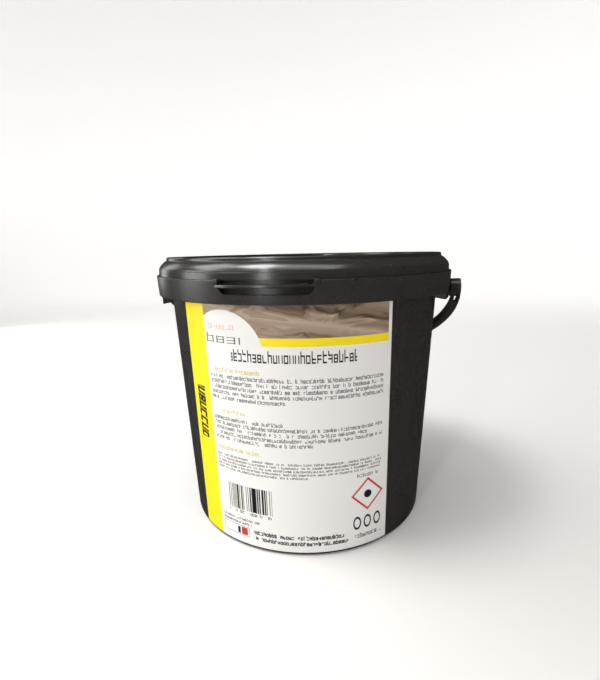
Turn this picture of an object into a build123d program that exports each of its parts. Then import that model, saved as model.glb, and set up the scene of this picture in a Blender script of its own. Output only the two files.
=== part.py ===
from build123d import *
import os
from math import acos, atan2, cos, degrees, hypot, pi, radians, sin, sqrt, tan
from random import Random

os.makedirs("parts", exist_ok=True)

# Dishwasher tablet tub, in millimetres. Origin at the middle of the foot, +Z up.
# The bail turns about a line along X, so the front of the tub faces -Y.

# ---- bucket ----
mouth_radius = 103.0       # outside of the wall, at the collar's lower edge
wall_taper = 8.5           # the wall is this much narrower at the foot
wall = 1.4                 # moulded wall of the bucket and the lid
foot_depth = 3.0           # hollow under the floor
floor_wall = 1.8
foot_width = 2.6           # ring that the bucket stands on
foot_round = 2.4           # rounding of its outer edge
edge_break = 0.35          # small chamfer on moulded edges

# ---- collar, and the rim that the lid closes over ----
collar_bottom = 174.2      # height of the collar's lower edge
collar_height = 14.2
collar_out = 10.0          # collar's outer face at its upper edge, past the mouth
collar_draft = 0.8         # the collar is this much narrower at its lower edge
collar_wall = 1.2
web_rise = 4.1             # underside of the collar's web, above the collar's lower edge
rim_out = 4.6              # outside of the rim, past the mouth
rim_rise = 6.2             # rim's upper edge, above the collar's upper edge
bead_out = 1.2             # snap bead on the rim
bead_drop = 4.6            # foot of the bead, below the rim's upper edge

# ---- lift notch in the collar, and what is left of its tear-off bridges ----
notch_turn = -1.1          # middle of the notch, in degrees from the front, + towards +X
notch_width = 57.6
notch_drop = 4.0           # its lower edge, below the lid skirt's
notch_corner = 5.5
notch_room = 0.3           # from the rim's bead to the back of the notch
stub_length = 3.4
stub_height = 2.2
stub_out = 0.8
stub_edge = 0.45
nub_turn = 25.0            # a lone bridge stub, in degrees from the front
nub_share = 0.55           # its size beside the two at the notch

# ---- lid ----
ring_inset = 2.2           # outside of the stacking ring, inside the rim's outside
ring_width = 4.4
ring_face = 2.2            # height of the ring's upright outer face
ring_edge = 0.7
panel_drop = 5.8           # middle panel, below the ring
panel_step = 0.7
panel_step_inset = 17.0    # step in the panel, from the ring
shoulder_drop = 7.6        # foot of the shoulder, below the ring's upper face
shoulder_inset = 0.3       # shoulder's foot, inside the skirt
shoulder_bulge = 0.55      # how far the shoulder stands out from a straight cone
crease_height = 0.6        # each half of the crease under the shoulder
skirt_rise = 9.8           # lid skirt's lower edge, above the collar's lower edge
skirt_clearance = 0.35     # lid skirt to the collar
plug_clearance = 0.3       # lid's inner ring to the rim
plug_depth = 6.5
snap_clearance = 0.3       # lid's snap bead to the rim's bead
snap_height = 2.0          # snap bead above the skirt's lower edge
snap_flat = 0.6
seat_clearance = 0.3       # rim's upper edge to the lid

# ---- finger lip of the lid, which comes out through the notch ----
lip_wall = 1.6
lip_rise = 0.2             # its underside, above the skirt's lower edge
lip_out = 4.0              # past the collar, at its middle
lip_peak = -2.0            # where it reaches furthest out
lip_overlap = 1.8          # its left end reaches past the notch's end, along the collar
lip_short = 3.8            # its right end stops short of the notch's end
lip_lift = 1.7             # its right end turns up by this
lip_turn_start = 10.0      # where it starts to turn up
lip_gap = 1.2              # its root to the ends of the notch
lip_clearance = 0.35       # its overhanging end to the collar's face
slot_height = 2.5          # slot in the skirt above the lip
slot_inset = 0.8           # end of the slot, inside the notch's end

# ---- ears and bail ----
pivot_rise = 0.2           # pivot, above the collar's lower edge
ear_angle = 19.5           # half of each ear, round the collar
right_ear_drop = 5.0       # lower edge of the ear at +X, below the collar's, flush with its face
left_ear_drop = 8.8        # the ear at -X hangs lower
ear_rise = 1.6             # its side walls are this much shorter at the bucket's wall
boss_radius = 6.0          # boss for the bail's stud, inside the ear
boss_depth = 4.0           # boss's inner end, inside the collar's outer radius
stud_radius = 3.4
stud_clearance = 0.1
stud_edge = 0.8
hub_gap = 0.6              # hub to the collar
hub_radius = 6.8
hub_length = 7.2
hub_edge = 0.4
strap_gap = 2.3            # bail's inner radius, past the collar
strap_depth = 5.6          # channel, across its two flanges
strap_width = 6.2          # height of its flanges
strap_wall = 1.3
strap_drop = 8.6           # channel floor, off the plane through the pivots
leg_length = 10.0          # straight leg from the pivot to the arc
floor_start = 6.8          # channel floor starts this far past the pivot
rest_gap = 0.3             # bail to the wall it hangs against

# ---- label ----
label_width = 148.0
label_bottom = 2.6
label_top_gap = 0.6        # label to the collar
label_turn = 1.25          # middle of the label, in degrees from the front
label_thickness = 0.12
label_gap = 0.02

# ---- tablets ----
tablet_length = 36.0
tablet_width = 26.0
tablet_height = 15.0
tablet_corner = 4.0
tablet_chamfer = 1.6
wall_room = 2.4            # tablets to the bucket's wall
ring_room = 3.6            # between the two rings of tablets
side_room = 2.4            # least room between the tablets of one ring
full_layers = 9
loose_tablets = 6
largest_twist = 4.0        # degrees

base_radius = mouth_radius - wall_taper
draft = wall_taper / collar_bottom
collar_radius = mouth_radius + collar_out
collar_top = collar_bottom + collar_height
web_bottom = collar_bottom + web_rise
web_top = web_bottom + wall
rim_radius = mouth_radius + rim_out
rim_top = collar_top + rim_rise
floor_top = foot_depth + floor_wall
skirt_bottom = collar_bottom + skirt_rise
skirt_outer = collar_radius - collar_draft * (collar_height - skirt_rise) / collar_height
skirt_radius = skirt_outer - collar_wall - skirt_clearance
shoulder_radius = skirt_radius - shoulder_inset
ring_radius = rim_radius - ring_inset
shoulder_slope = atan2(shoulder_drop - ring_face, shoulder_radius - ring_radius)
shoulder_thick = wall / cos(shoulder_slope)                 # measured upright
shoulder_top = rim_top + seat_clearance + shoulder_thick + ring_inset * tan(shoulder_slope)
shoulder_foot = shoulder_top + ring_face - shoulder_drop
lid_height = shoulder_top + ring_face
panel_top = lid_height - panel_drop
pivot_height = collar_bottom + pivot_rise
boss_reach = collar_radius - boss_depth
strap_inner = collar_radius + strap_gap
strap_outer = strap_inner + strap_depth
label_top = collar_bottom - label_top_gap
notch_depth = collar_top - skirt_bottom + notch_drop
lip_bottom = skirt_bottom + lip_rise
lip_top = lip_bottom + lip_wall


def wall_radius(z):
    """Outside of the bucket's wall at height z."""
    return base_radius + draft * z


def collar_face(z):
    """Outside of the collar at height z."""
    return collar_radius - collar_draft * (collar_top - z) / collar_height


def spin(edges):
    """Turn a closed outline in the XZ plane into a solid of revolution."""
    return revolve(make_face(edges), Axis.Z)


def chain(*points):
    return Polyline(*[(r, 0, z) for r, z in points])


def front_turn(solid, angle):
    """Turn a piece made at the front by an angle towards +X."""
    return Rot(0, 0, angle) * solid


def make_shell():
    """Wall, floor, web, collar and rim, as one section."""
    foot_start = (wall_radius(0) - foot_round, 0)
    foot_end = (wall_radius(foot_round), foot_round)
    bend = radians(45)
    foot_middle = (
        foot_start[0] + foot_round * sin(bend),
        foot_round * (1 - cos(bend)),
    )
    foot_edge = ThreePointArc(*[(r, 0, z) for r, z in (foot_start, foot_middle, foot_end)])
    bead_base = rim_top - bead_drop
    outside = chain(
        foot_end,
        (wall_radius(web_bottom), web_bottom),
        (collar_face(web_bottom) - collar_wall, web_bottom),
        (collar_face(collar_bottom) - collar_wall, collar_bottom),
        (collar_face(collar_bottom) - edge_break, collar_bottom),
        (collar_face(collar_bottom + edge_break), collar_bottom + edge_break),
        (collar_face(collar_top - edge_break), collar_top - edge_break),
        (collar_radius - edge_break, collar_top),
        (collar_radius - collar_wall, collar_top),
        (collar_face(web_top) - collar_wall, web_top),
        (rim_radius, web_top),
        (rim_radius, bead_base),
        (rim_radius + bead_out, bead_base + bead_out),
        (rim_radius + bead_out, bead_base + 2 * bead_out),
        (rim_radius, rim_top - edge_break),
        (rim_radius - edge_break, rim_top),
        (rim_radius - wall, rim_top),
        (rim_radius - wall, web_top),
        (wall_radius(web_top) - wall, web_top),
        (wall_radius(floor_top) - wall, floor_top),
        (0, floor_top),
        (0, foot_depth),
        (wall_radius(0) - foot_round - foot_width + 1.0, foot_depth),
        (wall_radius(0) - foot_round - foot_width, 0),
        foot_start,
    )
    return spin([foot_edge, outside])


def front_cut(outline):
    """Prism from an outline at the front, that stays outside the rim and its bead."""
    clear = rim_radius + bead_out + notch_room
    cut = extrude(Plane.XZ * outline, collar_radius + 2 * lip_out) - Cylinder(clear, 3 * collar_top)
    return front_turn(cut, notch_turn)


def notch_cut():
    """Opening through the collar, rounded at its two lower corners."""
    outline = Pos(0, collar_top) * Rectangle(notch_width, 2 * notch_depth)
    return front_cut(fillet(outline.vertices().group_by(Axis.Y)[0], notch_corner))


def slot_cut():
    """Slot through the lid's skirt, from the top of the finger lip."""
    return front_cut(Pos(0, lip_top + slot_height / 2) * Rectangle(notch_width - 2 * slot_inset, slot_height))


def collar_stub(turn, share=1.0):
    """Stub of a torn bridge on the collar's outer face, at its upper edge."""
    length, height = share * stub_length, share * stub_height
    block = Box(length, collar_wall + share * stub_out, height)
    block = fillet(block.faces().sort_by(Axis.Y)[0].edges(), share * stub_edge)
    y = collar_radius + (share * stub_out - collar_wall) / 2 - 0.1
    z = collar_top - height / 2 + share * stub_height / 4
    return front_turn(Pos(0, -y, z) * block, turn)


def ear_section(low, inset):
    """Section of an ear down to low, seen along the collar, thinned by inset on its outer side."""
    inner = wall_radius(collar_bottom) - wall / 2
    high = web_bottom + wall / 2
    return make_face(chain(
        (inner, low + ear_rise - inset),
        (collar_face(low) - inset, low - inset),
        (collar_face(high) - inset, high if inset == 0 else web_bottom),
        (inner, high if inset == 0 else web_bottom),
        (inner, low + ear_rise - inset),
    ))


def make_ear(side):
    """The collar carried lower round one end of the bail, with walls to the bucket's side."""
    wall_angle = degrees(wall / collar_radius)
    low = collar_bottom - (right_ear_drop if side > 0 else left_ear_drop)
    ear = revolve(ear_section(low, 0), Axis.Z, 2 * ear_angle)
    room = revolve(ear_section(low, collar_wall), Axis.Z, 2 * (ear_angle - wall_angle))
    ear = Rot(0, 0, -ear_angle) * ear - Rot(0, 0, wall_angle - ear_angle) * room
    reach = collar_face(pivot_height) - collar_wall / 2 - boss_reach
    along = (Align.CENTER, Align.CENTER, Align.MIN)
    boss = Cylinder(boss_radius, reach, rotation=(0, 90, 0), align=along)
    boss = Pos(boss_reach, 0, pivot_height) * boss
    below = (Align.CENTER, Align.CENTER, Align.MAX)
    under_web = Box(3 * collar_radius, 3 * boss_radius, 3 * boss_radius, align=below)
    ear += boss & Pos(0, 0, web_bottom + 0.1) * under_web
    return Rot(0, 0, 0 if side > 0 else 180) * ear


def stud_hole(side):
    """Bearing for the bail's stud, through the boss and the collar."""
    length = 2 * (collar_radius - boss_reach) + 4
    hole = Pos(collar_radius, 0, pivot_height) * Cylinder(
        stud_radius + stud_clearance, length, rotation=(0, 90, 0)
    )
    return Rot(0, 0, 0 if side > 0 else 180) * hole


def make_bucket():
    bucket = make_shell()
    for side in (1, -1):
        bucket += make_ear(side)
        bucket -= stud_hole(side)
    bucket -= notch_cut()
    beside_notch = degrees((notch_width + stub_length) / 2 / collar_radius)
    bucket += collar_stub(notch_turn - beside_notch)
    bucket += collar_stub(notch_turn + beside_notch)
    bucket += collar_stub(nub_turn, nub_share)
    return bucket


def make_lid():
    """Stacking ring, sunk panel, shoulder, skirt, plug ring and finger lip."""
    skirt_inner = skirt_radius - wall
    plug_radius = rim_radius - wall - plug_clearance
    middle = (
        (ring_radius + shoulder_radius) / 2 + shoulder_bulge * sin(shoulder_slope),
        (shoulder_top + shoulder_foot) / 2 + shoulder_bulge * cos(shoulder_slope),
    )
    shoulder = ThreePointArc(
        (ring_radius, 0, shoulder_top),
        (middle[0], 0, middle[1]),
        (shoulder_radius, 0, shoulder_foot),
    )
    plug_top = shoulder_top - (plug_radius - ring_radius) * tan(shoulder_slope) - shoulder_thick
    skirt_top = shoulder_foot - shoulder_thick + crease_height
    snap_radius = rim_radius + bead_out + snap_clearance
    snap_low = skirt_bottom + snap_height
    snap_rise = skirt_inner - snap_radius
    ring_inner = ring_radius - ring_width
    ring_slant = ring_edge - 0.1                  # its inner wall leans by this
    step_radius = ring_inner - panel_step_inset
    body = chain(
        (shoulder_radius, shoulder_foot),
        (shoulder_radius, shoulder_foot - crease_height),
        (skirt_radius, shoulder_foot - 2 * crease_height),
        (skirt_radius, skirt_bottom + edge_break),
        (skirt_radius - edge_break, skirt_bottom),
        (skirt_inner, skirt_bottom),
        (skirt_inner, snap_low - snap_rise),
        (snap_radius, snap_low),
        (snap_radius, snap_low + snap_flat),
        (skirt_inner, snap_low + snap_flat + snap_rise),
        (skirt_inner, skirt_top),
        (plug_radius, plug_top),
        (plug_radius, shoulder_foot - plug_depth + wall / 2),
        (plug_radius - wall / 2, shoulder_foot - plug_depth),
        (plug_radius - wall, shoulder_foot - plug_depth),
        (plug_radius - wall, lid_height - wall),
        (ring_inner + wall, lid_height - wall),
        (ring_inner + wall - ring_slant, panel_top - wall),
        (step_radius, panel_top - wall),
        (step_radius - panel_step, panel_top - wall - panel_step),
        (0, panel_top - wall - panel_step),
        (0, panel_top - panel_step),
        (step_radius, panel_top - panel_step),
        (step_radius + panel_step, panel_top),
        (ring_inner - ring_slant, panel_top),
        (ring_inner, lid_height - ring_edge),
        (ring_inner + ring_edge, lid_height),
        (ring_radius - ring_edge, lid_height),
        (ring_radius, lid_height - ring_edge),
        (ring_radius, shoulder_top),
    )
    return spin([shoulder, body]) - slot_cut() + front_turn(make_lip(), notch_turn)


def make_lip():
    """Crescent shelf: its plan, cut by a thin band that turns up at the right end."""
    half = notch_width / 2
    reach_left, reach_right = half + lip_overlap, half - lip_short
    far_left = -reach_left - lip_out
    low, high = lip_bottom, lip_top
    level = ((1, 0, 0), (1, 0, 2.2 * lip_lift / (half - lip_turn_start)))
    top_rise = Spline((lip_turn_start, 0, high), (half, 0, high + lip_lift), tangents=level)
    low_rise = Spline((lip_turn_start, 0, low), (half, 0, low + lip_lift), tangents=level)
    end = Line((half, 0, high + lip_lift), (half, 0, low + lip_lift))
    run = Polyline(
        (lip_turn_start, 0, low), (far_left, 0, low), (far_left, 0, high), (lip_turn_start, 0, high)
    )
    side = make_face([top_rise, low_rise, end, run])
    band = extrude(side, collar_radius + 3 * lip_out, dir=(0, -1, 0))

    # the root passes through the notch; the crescent lies outside the collar's face
    face = collar_radius + lip_clearance
    root = Circle(face + 0.2) - Circle(skirt_radius - wall / 2)
    root_left, root_right = lip_gap - half, reach_right - lip_gap
    root_span = Rectangle(root_right - root_left, collar_radius)
    root &= Pos((root_left + root_right) / 2, -collar_radius) * root_span
    ends = [
        (r * sin(a / collar_radius), -r * cos(a / collar_radius))
        for r in (face, face + 0.5)
        for a in (-reach_left, reach_right)
    ]
    inner = ThreePointArc(ends[0], (0, -face), ends[1])
    outer = ThreePointArc(ends[3], (lip_peak, -(collar_radius + lip_out)), ends[2])
    crescent = make_face([inner, Line(ends[1], ends[3]), outer, Line(ends[2], ends[0])])
    plan = Pos(0, 0, low - lip_wall) * extrude(root + crescent, 3 * lip_wall + lip_lift, dir=(0, 0, 1))
    return plan & band


def bail_angle(flange_edge, clear, sign):
    """Angle below level at which the bail's inner face meets the wall, in degrees.

    sign is 1 at the back and -1 at the front, where the channel is turned over.
    """
    reach = leg_length + strap_inner
    across = reach - sign * draft * flange_edge
    down = sign * flange_edge + draft * reach
    wall_at_pivot = wall_radius(pivot_height) + clear * hypot(1, draft)
    return degrees(atan2(down, across) + acos(wall_at_pivot / hypot(across, down)))


rest_angle = bail_angle(-strap_drop, rest_gap, 1)
front_angle = bail_angle(-strap_drop + strap_width, rest_gap + label_thickness + label_gap, -1)
bail_travel = 180 + rest_angle + front_angle


def bail_band(inner, outer, low, high):
    """Two legs and a half ring between two radii, from low to high across the plane."""
    ring = Circle(outer) - Circle(inner)
    ring &= Pos(0, outer) * Rectangle(2 * outer + 2, 2 * outer)
    plan = Pos(0, leg_length) * ring
    for side in (1, -1):
        leg = Pos(side * (inner + outer) / 2, leg_length / 2 + floor_start / 2)
        plan += leg * Rectangle(outer - inner, leg_length - floor_start)
    return Pos(0, 0, low) * extrude(plan, high - low, dir=(0, 0, 1))


def bail_cheek(x_low, x_high):
    """Plate from the hub down to the channel, across X."""
    low = -strap_drop
    rim = [(hub_radius * cos(radians(a)), hub_radius * sin(radians(a))) for a in (0, -115)]
    foot = [(1.5, low), (leg_length, low), (leg_length, low + strap_width)]
    outline = Plane.YZ * (Polygon((0, 0), rim[1], *foot, rim[0], align=None) + Circle(hub_radius))
    return Pos(x_low, 0, 0) * extrude(outline, x_high - x_low, dir=(1, 0, 0))


def make_handle():
    """Bail moulded as a channel, in the plane of its pivots, then hung at the back."""
    low = -strap_drop
    high = low + strap_width
    handle = bail_band(strap_inner, strap_outer, low, low + strap_wall)
    handle += bail_band(strap_inner, strap_inner + strap_wall, low, high)
    handle += bail_band(strap_outer - strap_wall, strap_outer, low, high)
    hub_start = collar_radius + hub_gap
    for side in (1, -1):
        hub = Cylinder(hub_radius, hub_length, align=(Align.CENTER, Align.CENTER, Align.MIN))
        hub = chamfer(hub.edges().group_by(Axis.Z)[-1], hub_edge)
        stud_length = hub_start - boss_reach + stud_edge
        stud = Cylinder(stud_radius, stud_length, align=(Align.CENTER, Align.CENTER, Align.MAX))
        stud = chamfer(stud.edges().group_by(Axis.Z)[0], stud_edge)
        end = Pos(hub_start, 0, 0) * Rot(0, 90, 0) * (hub + stud)
        end += bail_cheek(strap_inner, strap_inner + strap_wall)
        end += bail_cheek(strap_outer - strap_wall, strap_outer)
        if side < 0:
            end = end.mirror(Plane.YZ)
        handle += end
    return Pos(0, 0, pivot_height) * Rot(-rest_angle, 0, 0) * handle


def make_label():
    """Sheet of even width that follows the wall."""
    z_mid = (label_bottom + label_top) / 2
    height = label_top - label_bottom
    place = Pos(0, 0, z_mid)

    def cone(out):
        return place * Cone(wall_radius(label_bottom) + out, wall_radius(label_top) + out, height)

    def half_width(z):
        radius = wall_radius(z)
        return radius * sin(label_width / 2 / radius)

    low, top = half_width(label_bottom), half_width(label_top)
    corners = [(-low, label_bottom), (low, label_bottom), (top, label_top), (-top, label_top)]
    window = extrude(Plane.XZ * Polygon(*corners, align=None), 2 * base_radius)
    sheet = (cone(label_gap + label_thickness) - cone(label_gap)) & window
    return front_turn(sheet, label_turn)


def make_tablet():
    upwards = (Align.CENTER, Align.CENTER, Align.MIN)
    block = Box(tablet_length, tablet_width, tablet_height, align=upwards)
    upright = fillet(block.edges().filter_by(Axis.Z), tablet_corner)
    return chamfer(upright.faces().sort_by(Axis.Z)[-1].edges(), tablet_chamfer)


def tablet_rings():
    """Radius and count of each ring of tablets that fits inside the wall, outermost first."""
    inside = wall_radius(floor_top) - wall - wall_room
    radius = sqrt(inside ** 2 - (tablet_length / 2) ** 2) - tablet_width / 2
    rings = []
    while radius > tablet_length:
        around = 2 * pi * (radius - tablet_width / 2)
        rings.append((radius, int(around / (tablet_length + side_room))))
        radius -= tablet_width + ring_room
    return rings


def make_layer(index, tablet):
    """Rings of flat tablets with one in the middle, or the few loose ones on top."""
    dice = Random(7 + index)
    z = floor_top + index * tablet_height
    spots = []
    for radius, count in tablet_rings():
        start = dice.uniform(0, 360)
        for i in range(count):
            spots.append((radius, start + i * 360 / count))
    spots.append((0, dice.uniform(0, 180)))
    if index == full_layers:
        spots = spots[:2 * loose_tablets:2]
    layer = []
    for radius, turn in spots:
        twist = dice.uniform(-largest_twist, largest_twist)
        layer.append(Rot(0, 0, turn) * Pos(0, -radius, z) * Rot(0, 0, twist) * tablet)
    return Compound(children=layer)


def main():
    nodes = {
        "bucket": make_bucket(),
        "lid": make_lid(),
        "handle": make_handle(),
        "label": make_label(),
    }
    tablet = make_tablet()
    for index in range(full_layers + 1):
        nodes[f"tablet_layer_{index + 1:02d}"] = make_layer(index, tablet)
    for name, shape in nodes.items():
        export_step(shape, f"parts/{name}.step")
        box = shape.bounding_box()
        print(f"{name}: {len(shape.solids())} solid(s), {shape.volume / 1000:.1f} cm3, "
              f"z {box.min.Z:.2f} to {box.max.Z:.2f}")
    print(f"bail hangs {rest_angle:.2f} below level and travels {bail_travel:.2f} degrees")


main()
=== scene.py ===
from math import cos, pi, radians, sin

import bmesh
import bpy
from mathutils import Matrix, Vector


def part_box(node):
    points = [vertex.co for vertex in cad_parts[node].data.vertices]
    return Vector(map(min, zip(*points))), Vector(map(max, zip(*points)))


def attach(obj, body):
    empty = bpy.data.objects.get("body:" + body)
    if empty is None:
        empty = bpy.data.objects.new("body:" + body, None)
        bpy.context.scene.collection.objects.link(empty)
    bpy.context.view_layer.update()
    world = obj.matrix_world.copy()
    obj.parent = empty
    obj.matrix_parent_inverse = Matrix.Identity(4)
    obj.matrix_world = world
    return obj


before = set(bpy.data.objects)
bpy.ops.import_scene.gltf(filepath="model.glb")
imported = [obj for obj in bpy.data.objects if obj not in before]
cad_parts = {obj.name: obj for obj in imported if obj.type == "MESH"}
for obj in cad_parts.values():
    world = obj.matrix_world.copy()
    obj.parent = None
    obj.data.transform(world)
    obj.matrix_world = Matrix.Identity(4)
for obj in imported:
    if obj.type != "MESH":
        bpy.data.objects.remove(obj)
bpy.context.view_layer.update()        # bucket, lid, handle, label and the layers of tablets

mm = 0.001


# one output of a node: arithmetic on it adds Math nodes to its material
class Value:
    def __init__(self, paint, socket):
        self.paint = paint
        self.socket = socket

    def math(self, operation, *terms):
        inputs = dict(enumerate(terms))
        return self.paint.node("ShaderNodeMath", {"operation": operation}, inputs)

    def __add__(self, other):
        return self.math("ADD", self, other)

    def __sub__(self, other):
        return self.math("SUBTRACT", self, other)

    def __rsub__(self, other):
        return self.math("SUBTRACT", other, self)

    def __mul__(self, other):
        return self.math("MULTIPLY", self, other)

    def __truediv__(self, other):
        return self.math("DIVIDE", self, other)

    def __rtruediv__(self, other):
        return self.math("DIVIDE", other, self)

    def __gt__(self, other):
        return self.math("GREATER_THAN", self, other)

    def __lt__(self, other):
        return self.math("LESS_THAN", self, other)

    def __or__(self, other):
        return self.math("MAXIMUM", self, other)

    def __abs__(self):
        return self.math("ABSOLUTE", self)

    def near(self, middle, reach):
        return self.math("COMPARE", self, middle, reach)

    def floor(self):
        return self.math("FLOOR", self)

    def fraction(self):
        return self.math("FRACT", self)

    __radd__ = __add__
    __rmul__ = __mul__
    __and__ = __mul__
    __rand__ = __mul__
    __ror__ = __or__


# one material: its shader, and the method that every other node comes from
class Paint:
    def __init__(self, name, **shaderValues):
        self.material = bpy.data.materials.new(name)
        self.material.use_nodes = True
        self.tree = self.material.node_tree
        self.shader = self.tree.nodes["Principled BSDF"]
        for words, value in shaderValues.items():
            self.set(words, value)

    # set("baseColor", red) feeds the shader's Base Color
    def set(self, words, value):
        wanted = words.lower()
        for socket in self.shader.inputs:
            if socket.name.replace(" ", "").lower() == wanted:
                self.feed(socket, value)

    def feed(self, socket, value):
        if isinstance(value, Value):
            self.tree.links.new(value.socket, socket)
        else:
            socket.default_value = value

    def node(self, kind, settings, inputs, output=0):
        made = self.tree.nodes.new(kind)
        for name, value in settings.items():
            if name == "stops":
                self.setStops(made.color_ramp, value)
            else:
                setattr(made, name, value)
        for key, value in inputs.items():
            self.feed(made.inputs[key], value)
        return Value(self, made.outputs[output])

    def setStops(self, ramp, stops):
        while len(ramp.elements) < len(stops):
            ramp.elements.new(0.5)
        for element, (place, color) in zip(ramp.elements, stops):
            element.position = place
            element.color = color

    def place(self):
        return self.node("ShaderNodeTexCoord", {}, {}, "Object")

    def axes(self, point):
        inputs = {"Vector": point}
        return [self.node("ShaderNodeSeparateXYZ", {}, inputs, i) for i in range(3)]

    def point(self, x, y, z=0.0):
        return self.node("ShaderNodeCombineXYZ", {}, {"X": x, "Y": y, "Z": z})

    def dice(self, key):
        return self.node("ShaderNodeTexWhiteNoise", {"noise_dimensions": "1D"}, {"W": key})

    def noise(self, point, scale, detail, distortion=0.0):
        inputs = {"Vector": point, "Scale": scale, "Detail": detail, "Distortion": distortion}
        return self.node("ShaderNodeTexNoise", {}, inputs)

    def mix(self, mask, below, above):
        settings = {"data_type": "RGBA"}
        return self.node("ShaderNodeMix", settings, {0: mask, 6: below, 7: above}, 2)

    def ramp(self, value, stops):
        return self.node("ShaderNodeValToRGB", {"stops": stops}, {0: value})

    # softens every edge by the given radius, then adds the fine relief
    def bump(self, height, strength, distance, rounding):
        inputs = {"Height": height, "Strength": strength, "Distance": distance}
        inputs["Normal"] = self.node("ShaderNodeBevel", {"samples": 4}, {"Radius": rounding})
        self.set("normal", self.node("ShaderNodeBump", {}, inputs))


def color(red, green, blue):
    return (red, green, blue, 1.0)


# moulded plastic of the bucket, the lid and the bail

plastic = {
    "color": color(0.0285, 0.0276, 0.0262),
    "streakColor": color(0.0325, 0.0315, 0.0300),    # paler where the melt flowed
    "scuffColor": color(0.050, 0.048, 0.046),
    "specular": 0.6,
    "roughness": 0.24,
    "flowRoughness": 0.10,
    "grainRoughness": 0.05,
    "scuffRoughness": 0.12,
    "flow": {"scale": 22.0, "detail": 4.0, "distortion": 1.2},
    "grain": {"scale": 2600.0, "detail": 2.0},
    "scuff": {"scale": 160.0, "detail": 8.0, "distortion": 2.5},
    "scuffAbove": 0.69,            # noise above this is a scuff
    "scuffCover": 0.25,            # how much a scuff hides
    "flowRelief": 6.0,             # against the grain's relief
    "ridgeRelief": 3.0,
    "reliefHeight": 0.04 * mm,
    "reliefStrength": 0.35,
    "rounding": 0.7 * mm,
}
ridge = {"height": 138.6, "reach": 2.6}    # in millimetres, up the wall


# a faint ridge round the wall, which shows through the label too
def wallRidge(paint, place):
    offset = abs(paint.axes(place)[2] / mm - ridge["height"])
    return (1 - offset / ridge["reach"]) | 0.0


def mouldedPlastic(name, shine):
    paint = Paint(name, specularIORLevel=plastic["specular"])
    place = paint.place()
    flow = paint.noise(place, **plastic["flow"])
    grain = paint.noise(place, **plastic["grain"])
    scuff = paint.noise(place, **plastic["scuff"]) > plastic["scuffAbove"]
    body = paint.mix(flow, plastic["color"], plastic["streakColor"])
    paint.set("baseColor", paint.mix(scuff * plastic["scuffCover"], body, plastic["scuffColor"]))
    matt = plastic["roughness"] - shine + flow * plastic["flowRoughness"]
    matt = matt + scuff * plastic["scuffRoughness"] + grain * plastic["grainRoughness"]
    paint.set("roughness", matt)
    relief = grain + flow * plastic["flowRelief"] + wallRidge(paint, place) * plastic["ridgeRelief"]
    paint.bump(relief, plastic["reliefStrength"], plastic["reliefHeight"], plastic["rounding"])
    print("plastic mixed:", name)
    return paint.material


# print on the label
# places are in millimetres: along the wall from the label's middle, and up from the floor

sheet = {
    "turn": 1.25,                 # label's middle, in degrees from the front
    "taper": 0.0488,              # wall's growth in radius for each millimetre up
    "paper": color(0.88, 0.87, 0.85),
    "fleckColor": color(0.70, 0.68, 0.65),
    "yellow": color(1.0, 0.80, 0.0),
    "ink": color(0.012, 0.012, 0.014),
    "ochre": color(0.62, 0.48, 0.10),
    "orange": color(0.90, 0.34, 0.20),
    "red": color(0.60, 0.035, 0.04),
    "roughness": 0.36,
    "fleckRoughness": 0.08,
    "inkShine": 0.1,
    "coat": 0.25,
    "coatRoughness": 0.18,
    "fleck": {"scale": 900.0, "detail": 3.0},
    "fleckCover": 0.10,
    "ridgeRelief": 8.0,
    "reliefHeight": 0.02 * mm,
    "reliefStrength": 0.2,
    "rounding": 0.05 * mm,
}

# (left, right, bottom, top)
fields = {
    "stripe": (-74.0, -53.2, 0.0, 180.0),
    "picture": (-53.2, 71.4, 153.2, 180.0),
    "bar": (-53.2, 71.4, 148.0, 153.2),
}
dome = {"along": -37.5, "up": 141.5, "radius": 28.3}

# rows of print: the middle of the first row, row pitch, height and width of a letter, half
# the width of a stroke as a share of a letter, where the rows start, and where each row ends
textRows = [
    {"first": 150.6, "pitch": 9.0, "tall": 4.4, "wide": 8.7, "weight": 0.045,
     "left": -53.0, "ends": (-18,)},
    {"first": 140.2, "pitch": 11.5, "tall": 5.3, "wide": 3.35, "weight": 0.10,
     "left": -31.8, "ends": (48.6,)},
    {"first": 126.0, "pitch": 3.7, "tall": 1.9, "wide": 1.65, "weight": 0.11,
     "left": -50.5, "ends": (68, 68, 68, 68, 3)},
    {"first": 96.3, "pitch": 3.55, "tall": 1.9, "wide": 1.65, "weight": 0.11,
     "left": -50.8, "ends": (1, 68, 56, 68, 20.5)},
    {"first": 69.0, "pitch": 2.42, "tall": 1.2, "wide": 1.12, "weight": 0.12,
     "left": -50.5, "ends": (67, 68, 68, 67, 16)},
    {"first": 21.4, "pitch": 3.2, "tall": 1.4, "wide": 1.5, "weight": 0.13,
     "left": -50.3, "ends": (-18.5, -25)},
    {"first": 13.6, "pitch": 4.6, "tall": 2.2, "wide": 2.0, "weight": 0.17,
     "left": -23.5, "ends": (41.5, 43.0)},
    {"first": 57.2, "pitch": 4.6, "tall": 2.1, "wide": 2.05, "weight": 0.09,
     "left": 49.0, "ends": (65.7,)},
    {"first": 10.4, "pitch": 6.0, "tall": 2.6, "wide": 2.35, "weight": 0.11,
     "left": 48.2, "ends": (69.5,)},
    {"first": 27.3, "pitch": 4.0, "tall": 1.9, "wide": 2.0, "weight": 0.11,
     "left": -43.0, "ends": (-9.5,)},
]
orangeRows = [
    {"first": 158.9, "pitch": 9.0, "tall": 3.2, "wide": 5.0, "weight": 0.05,
     "left": -53.0, "ends": (-28,)},
]
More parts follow.
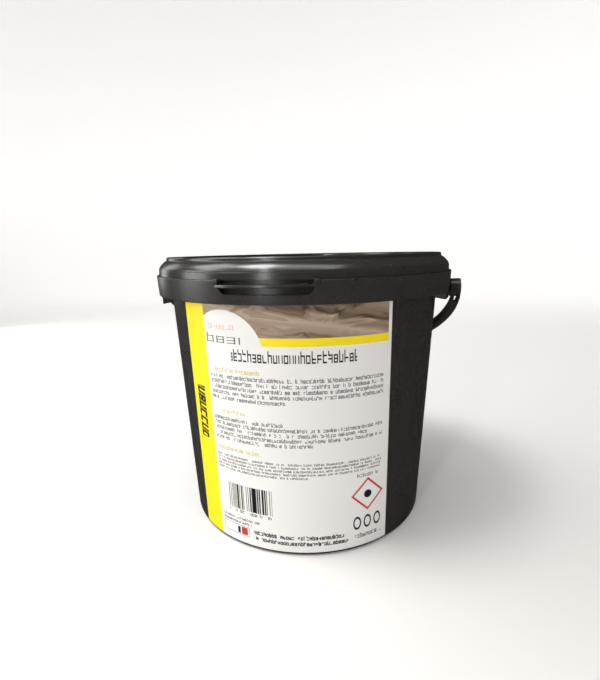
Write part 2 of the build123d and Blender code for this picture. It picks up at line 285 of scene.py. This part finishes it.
headings = [
    {"first": 130.2, "pitch": 5.0, "tall": 2.1, "wide": 2.1, "weight": 0.1,
     "left": -50.0, "ends": (-10.5,)},
    {"first": 101.7, "pitch": 5.0, "tall": 2.1, "wide": 2.1, "weight": 0.1,
     "left": -50.8, "ends": (-24.5,)},
    {"first": 74.4, "pitch": 5.0, "tall": 2.1, "wide": 2.1, "weight": 0.1,
     "left": -50.4, "ends": (-15.3,)},
]
longestRow = 120.0
spine = {
    "left": -68.4, "right": -59.4, "bottom": 77.0, "top": 115.5,
    "wide": 5.5, "weight": 0.165, "slant": 0.16,
}
# strokes of the stand-in letters: whether it stands upright, where its middle line runs, where
# it starts and ends, all as shares of a letter, and how often it is left out
strokes = [
    (True, 0.14, 0.00, 1.00, 0.20),
    (True, 0.74, 0.00, 1.00, 0.30),
    (True, 0.14, 1.00, 1.46, 0.62),
    (False, 0.92, 0.06, 0.80, 0.30),
    (False, 0.50, 0.06, 0.80, 0.60),
    (False, 0.08, 0.06, 0.80, 0.35),
]
# what each random draw is keyed by, and how often a whole letter is left out
chance = {"stroke": 41.3, "row": 37.7, "blank": 1.7, "blankShift": 5.0, "blankShare": 0.13,
          "spine": 3.7, "spineShift": 60.0}
bars = {"left": -42.6, "right": -8.7, "bottom": 29.4, "top": 48.6, "module": 0.50, "gaps": 0.42}
diamond = {"along": 57.6, "up": 42.4, "reach": 12.6, "line": 1.9, "spot": 3.0}
rings = {"up": 21.0, "places": (49.6, 57.6, 65.6), "wide": 3.0, "tall": 5.2, "line": 1.0}
note = {"outline": (-50.0, -27.0, 8.4, 16.0), "line": 0.28}
blocks = {"ink": (-37.0, -34.8, 9.4, 14.8), "red": (-33.8, -28.6, 9.2, 15.2)}


def box(along, up, left, right, bottom, top):
    across = along.near((left + right) / 2, (right - left) / 2)
    return across & up.near((bottom + top) / 2, (top - bottom) / 2)


def frameOf(along, up, left, right, bottom, top, line):
    whole = box(along, up, left, right, bottom, top)
    return whole - box(along, up, left + line, right - line, bottom + line, top - line)


# stand-in letters made of random strokes, so that no row can be read
def letters(paint, across, rise, key, weight):
    marks = 0
    for index, (upright, line, low, high, missing) in enumerate(strokes):
        thin, long = (across, rise) if upright else (rise, across)
        stroke = thin.near(line, weight) & long.near((low + high) / 2, (high - low) / 2)
        marks = marks | (stroke & (paint.dice(key + index * chance["stroke"]) > missing))
    blank = key * chance["blank"] + chance["blankShift"]
    return marks & (paint.dice(blank) > chance["blankShare"])


# each point's block of rows is picked first, so that the strokes are drawn once for them all
def printedRows(paint, along, up, paragraphs):
    reach, top, weight = 0, 0, 0
    pitch = tall = wide = 0.001            # nothing is divided by zero between the rows
    for block in paragraphs:
        rows = len(block["ends"])
        edge = block["first"] + block["pitch"] / 2
        here = up.near(edge - block["pitch"] * rows / 2, block["pitch"] * rows / 2)
        here = here & along.near(block["left"] + longestRow / 2, longestRow / 2)
        here = here & (along < max(block["ends"]))
        row = ((edge - up) / block["pitch"]).floor()
        for index, end in enumerate(block["ends"]):
            if end < max(block["ends"]):
                here = here & (1 - (row.near(index, 0.1) & (along > end)))
        reach = reach | here
        top = top + here * edge
        pitch = pitch + here * block["pitch"]
        tall = tall + here * block["tall"]
        wide = wide + here * block["wide"]
        weight = weight + here * block["weight"]
    rows = (top - up) / pitch
    cells = along / wide
    rise = (0.5 - rows.fraction()) * pitch / tall + 0.5
    key = cells.floor() + rows.floor() * chance["row"] + top
    return reach & letters(paint, cells.fraction(), rise, key, weight)


def spineMarks(paint, along, up):
    width = spine["right"] - spine["left"]
    cells = (up + along * spine["slant"] - spine["bottom"]) / spine["wide"]
    rise = (spine["right"] - along) / width
    key = cells.floor() * chance["spine"] + chance["spineShift"]
    word = letters(paint, cells.fraction(), rise, key, spine["weight"])
    return word & box(along, up, spine["left"], spine["right"], spine["bottom"], spine["top"])


def barMarks(paint, along, up):
    step = (along / bars["module"]).floor()
    field = box(along, up, bars["left"], bars["right"], bars["bottom"], bars["top"])
    return (paint.dice(step) > bars["gaps"]) & field


# a soft picture of folded stoneware colours, with a few darker sweeps
picture = {
    "stretch": (0.014, 0.030),     # of the bends, along the wall and up it
    "bend": {"scale": 2.0, "detail": 2.0, "distortion": 1.4},
    "sweep": (0.007, 0.045),       # of the folds
    "sweepBend": 0.7,
    "fold": {"scale": 2.6, "detail": 2.5, "distortion": 0.7},
    "stops": [
        (0.30, color(0.090, 0.050, 0.028)),
        (0.40, color(0.290, 0.200, 0.130)),
        (0.54, color(0.420, 0.315, 0.220)),
        (0.72, color(0.640, 0.540, 0.420)),
    ],
}


def pictureColor(paint, along, up):
    alongBend, upBend = picture["stretch"]
    alongFold, upFold = picture["sweep"]
    bend = paint.noise(paint.point(along * alongBend, up * upBend), **picture["bend"])
    slide = along * alongFold + up * upFold + bend * picture["sweepBend"]
    fold = paint.noise(paint.point(slide, bend), **picture["fold"])
    return paint.ramp(fold, picture["stops"])


def disc(across, rise, radius):
    return (across * across + rise * rise) < radius ** 2


def ovalRing(across, rise, wide, tall, line):
    sides = (abs(across) / wide, abs(rise) / tall)
    oval = sides[0] * sides[0] + sides[1] * sides[1]
    return (oval < 1.0) & (oval > (1 - line / wide) ** 2)


def printedPaper():
    paint = Paint("labelPrint", coatRoughness=sheet["coatRoughness"], coatWeight=sheet["coat"])
    x, y, z = paint.axes(paint.place())
    up = z / mm
    low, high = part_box("label")
    radius = up * sheet["taper"] + (-low.y - high.z * sheet["taper"]) / mm
    angle = x.math("ARCTAN2", x, 0 - y)
    along = (angle - radians(sheet["turn"])) * radius

    fleck = paint.noise(paint.place(), **sheet["fleck"])
    paper = paint.mix(fleck * sheet["fleckCover"], sheet["paper"], sheet["fleckColor"])
    stripe = box(along, up, *fields["stripe"]) | box(along, up, *fields["bar"])
    tint = paint.mix(stripe, paper, sheet["yellow"])
    tint = paint.mix(box(along, up, *fields["picture"]), tint, pictureColor(paint, along, up))
    inDome = disc(along - dome["along"], up - dome["up"], dome["radius"])
    tint = paint.mix(inDome & (along > fields["stripe"][1]), tint, paper)
    tint = paint.mix(printedRows(paint, along, up, headings), tint, sheet["ochre"])
    tint = paint.mix(printedRows(paint, along, up, orangeRows), tint, sheet["orange"])

    dark = printedRows(paint, along, up, textRows) | spineMarks(paint, along, up)
    dark = dark | barMarks(paint, along, up)
    dark = dark | frameOf(along, up, *note["outline"], note["line"])
    for place in rings["places"]:
        ring = ovalRing(along - place, up - rings["up"], rings["wide"], rings["tall"], rings["line"])
        dark = dark | ring
    dark = dark | box(along, up, *blocks["ink"])
    across, rise = along - diamond["along"], up - diamond["up"]
    dark = dark | disc(across, rise, diamond["spot"])
    tint = paint.mix(dark, tint, sheet["ink"])
    away = abs(across) + abs(rise)
    red = (away < diamond["reach"]) & (away > diamond["reach"] - diamond["line"])
    red = red | box(along, up, *blocks["red"])
    paint.set("baseColor", paint.mix(red, tint, sheet["red"]))

    paint.set("roughness", fleck * sheet["fleckRoughness"] + sheet["roughness"] - sheet["inkShine"] * dark)
    relief = fleck + wallRidge(paint, paint.place()) * sheet["ridgeRelief"]
    paint.bump(relief, sheet["reliefStrength"], sheet["reliefHeight"], sheet["rounding"])
    print("label printed:", len(textRows + orangeRows + headings), "blocks of rows")
    return paint.material


# pressed tablets: a pale blue layer on white

tablet = {
    "white": color(0.86, 0.87, 0.87),
    "blue": color(0.30, 0.52, 0.74),
    "speck": color(0.16, 0.38, 0.66),
    "blueShare": 0.38,             # of a tablet's height, from its top
    "roughness": 0.85,
    "specular": 0.3,
    "grain": {"scale": 1100.0, "detail": 3.0},
    "layerWander": 0.02,
    "specks": {"scale": 520.0, "detail": 0.0},
    "speckAbove": 0.66,            # noise above this is a speck
    "speckCover": 0.7,
    "reliefHeight": 0.3 * mm,
    "reliefStrength": 0.6,
    "rounding": 0.6 * mm,
}


def pressedPowder():
    paint = Paint("pressedPowder", roughness=tablet["roughness"], specularIORLevel=tablet["specular"])
    point = paint.place()
    up = paint.axes(point)[2]
    low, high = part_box("tablet_layer_01")
    tall = high.z - low.z
    grain = paint.noise(point, **tablet["grain"])
    level = ((up - low.z) / tall + grain * tablet["layerWander"]).fraction()
    speck = paint.noise(point, **tablet["specks"]) > tablet["speckAbove"]
    white = paint.mix(speck * tablet["speckCover"], tablet["white"], tablet["speck"])
    paint.set("baseColor", paint.mix(level > 1 - tablet["blueShare"], white, tablet["blue"]))
    paint.bump(grain, tablet["reliefStrength"], tablet["reliefHeight"], tablet["rounding"])
    print("tablet powder mixed")
    return paint.material


shine = {"bucket": 0.04, "lid": 0.11, "handle": 0.0}    # taken off the plastic's roughness


def dressNodes():
    finishes = {name: mouldedPlastic(name + "Plastic", shine[name]) for name in shine}
    finishes["label"] = printedPaper()
    powder = pressedPowder()
    for name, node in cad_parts.items():
        material = finishes.get(name, powder)
        node.data.materials.clear()
        node.data.materials.append(material)
    print("finishes are on", len(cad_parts), "nodes")
    return finishes


finishes = dressNodes()


# what the mould leaves: the gate's little plug in the lid and under the foot

gate = {
    "dish": [(7.50, 0.02), (7.05, 0.22), (6.15, 0.26), (5.70, 0.06)],    # radius and height in mm
    "plug": [(3.84, 0.05), (3.20, 0.40), (2.56, 0.50)],
    "turns": 64,
    "panelDrop": 6.5 * mm,         # lid's middle panel, below its ring
    "footDepth": 3.0 * mm,         # floor's underside, above the ground
}


# one level ring of points round the upright axis
def ringOf(mesh, radius, height, turns):
    angles = [2 * pi * i / turns for i in range(turns)]
    return [mesh.verts.new((radius * cos(turn), radius * sin(turn), height)) for turn in angles]


def gateMark(name, height, side, body, material):
    mesh = bmesh.new()
    turns = gate["turns"]
    loops = []
    for radius, rise in gate["dish"] + gate["plug"]:
        loops.append(ringOf(mesh, radius * mm, height + side * rise * mm, turns))
    tip = mesh.verts.new((0, 0, height + side * gate["plug"][-1][1] * mm))
    for i in range(turns):
        j = (i + 1) % turns
        for outer, inner in zip(loops, loops[1:]):
            mesh.faces.new((outer[i], outer[j], inner[j], inner[i]))
        mesh.faces.new((loops[-1][i], loops[-1][j], tip))
    bmesh.ops.recalc_face_normals(mesh, faces=mesh.faces)
    data = bpy.data.meshes.new(name)
    mesh.to_mesh(data)
    mesh.free()
    data.shade_smooth()
    data.materials.append(material)
    piece = bpy.data.objects.new(name, data)
    bpy.context.scene.collection.objects.link(piece)
    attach(piece, body)
    print("gate mark placed:", name)


# studio

# turn is in degrees from the tub's front towards +X, rise is above the floor
lamps = {
    "overhead": {"turn": -58, "rise": 68, "away": 1.2, "wide": 0.30, "tall": 0.34, "watts": 5.4},
    "overFront": {"turn": -2, "rise": 73, "away": 1.2, "wide": 1.00, "tall": 0.34, "watts": 4.0},
    "highLeft": {"turn": -88, "rise": 50, "away": 1.2, "wide": 0.45, "tall": 0.45, "watts": 3.2},
    "lowLeft": {"turn": -72, "rise": 12, "away": 1.2, "wide": 0.50, "tall": 0.70, "watts": 4.2},
    "frontLeft": {"turn": -46, "rise": 32, "away": 1.2, "wide": 0.50, "tall": 0.60, "watts": 1.5},
    "backLeft": {"turn": -118, "rise": 14, "away": 1.2, "wide": 0.30, "tall": 0.70, "watts": 1.0},
    "strip": {"turn": -16.5, "rise": 16, "away": 1.2, "wide": 0.035, "tall": 0.90, "watts": 3.2},
}
studio = {
    "aim": 0.11,                   # height that every lamp points at
    "radius": 1.7, "bend": 0.5, "bendSteps": 12, "tall": 2.2, "turns": 96,
    "floor": color(0.86, 0.85, 0.83), "floorDust": color(0.84, 0.82, 0.79),
    "dust": {"scale": 6.0, "detail": 3.0}, "roughness": 0.7, "specular": 0.2,
    "glow": 0.46, "glowStart": -0.1, "glowFade": 1.5,        # floor's own light, rising behind
    "glowNear": color(0.07, 0.07, 0.07), "glowFar": color(1.0, 1.0, 1.0),
    "sky": color(1.0, 0.95, 0.88), "skyStrength": 0.04,
}


def pointAt(turn, rise, away):
    turn, rise = radians(turn), radians(rise)
    return away * Vector((cos(rise) * sin(turn), -cos(rise) * cos(turn), sin(rise)))


def hangLamps():
    target = Vector((0, 0, studio["aim"]))
    for name, lamp in lamps.items():
        data = bpy.data.lights.new(name, "AREA")
        data.shape = "RECTANGLE"
        data.size = lamp["wide"]
        data.size_y = lamp["tall"]
        data.energy = lamp["watts"]
        light = bpy.data.objects.new(name, data)
        light.location = target + pointAt(lamp["turn"], lamp["rise"], lamp["away"])
        light.rotation_euler = (target - light.location).to_track_quat("-Z", "Y").to_euler()
        bpy.context.scene.collection.objects.link(light)
    print("lamps hung:", len(lamps))


# floor's colour, and a glow of its own that grows behind the tub
def paleFloor():
    paint = Paint("paleFloor", roughness=studio["roughness"], specularIORLevel=studio["specular"],
                  emissionStrength=studio["glow"])
    behind = (paint.axes(paint.place())[1] - studio["glowStart"]) / studio["glowFade"]
    paint.set("emissionColor", paint.mix(behind, studio["glowNear"], studio["glowFar"]))
    dust = paint.noise(paint.place(), **studio["dust"])
    paint.set("baseColor", paint.mix(dust, studio["floor"], studio["floorDust"]))
    return paint.material


# the round floor turns up into a wall all the way round
def sweepOutline():
    radius, bend, steps = studio["radius"], studio["bend"], studio["bendSteps"]
    turns = [pi / 2 * i / steps for i in range(steps + 1)]
    curve = [(radius + bend * sin(turn), bend * (1 - cos(turn))) for turn in turns]
    return curve + [(radius + bend, studio["tall"])]


def sweepFloor():
    mesh = bmesh.new()
    turns = studio["turns"]
    rows = [[mesh.verts.new((0, 0, 0))] * turns]
    for reach, height in sweepOutline():
        rows.append(ringOf(mesh, reach, height, turns))
    for near, far in zip(rows, rows[1:]):
        for i in range(turns):
            j = (i + 1) % turns
            corners = dict.fromkeys((near[j], near[i], far[i], far[j]))    # three at the middle
            mesh.faces.new(list(corners))
    data = bpy.data.meshes.new("paleSweep")
    mesh.to_mesh(data)
    mesh.free()
    data.shade_smooth()
    data.materials.append(paleFloor())
    floor = bpy.data.objects.new("paleSweep", data)
    bpy.context.scene.collection.objects.link(floor)
    floor.visible_glossy = False
    print("floor laid")


def paintSky():
    world = bpy.data.worlds.new("studioAir")
    world.use_nodes = True
    air = world.node_tree.nodes["Background"]
    air.inputs["Color"].default_value = studio["sky"]
    air.inputs["Strength"].default_value = studio["skyStrength"]
    bpy.context.scene.world = world
    print("sky set")


# camera: a little above the lid, turned off the front

view = {
    "turn": 10.5,                  # degrees from the front, towards +X
    "away": 346.8 * mm,
    "height": 204.2 * mm,
    "pan": -0.670,                 # degrees off the line to the tub's middle
    "pitch": 11.94,                # degrees down
    "roll": 1.225,
    "lens": 22.39,
}


def setCamera():
    pan, pitch, roll = (radians(view[name]) for name in ("pan", "pitch", "roll"))
    ahead = Vector((cos(pitch) * sin(pan), cos(pitch) * cos(pan), -sin(pitch)))
    level = Vector((cos(pan), -sin(pan), 0))
    upright = level.cross(ahead)
    right = cos(roll) * level - sin(roll) * upright
    up = sin(roll) * level + cos(roll) * upright
    axes = Matrix((right, up, -ahead)).transposed().to_4x4()
    data = bpy.data.cameras.new("tubCamera")
    data.lens = view["lens"]
    camera = bpy.data.objects.new("tubCamera", data)
    swing = Matrix.Rotation(radians(view["turn"]), 4, "Z")
    camera.matrix_world = swing @ Matrix.Translation((0, -view["away"], view["height"])) @ axes
    bpy.context.scene.collection.objects.link(camera)
    bpy.context.scene.camera = camera
    print("camera set")


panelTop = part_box("lid")[1].z - gate["panelDrop"]
gateMark("lid_gate", panelTop, 1, "lid", finishes["lid"])
gateMark("foot_gate", gate["footDepth"], -1, "tub", finishes["bucket"])
sweepFloor()
paintSky()
hangLamps()
setCamera()
bpy.context.scene.view_settings.view_transform = "Standard"
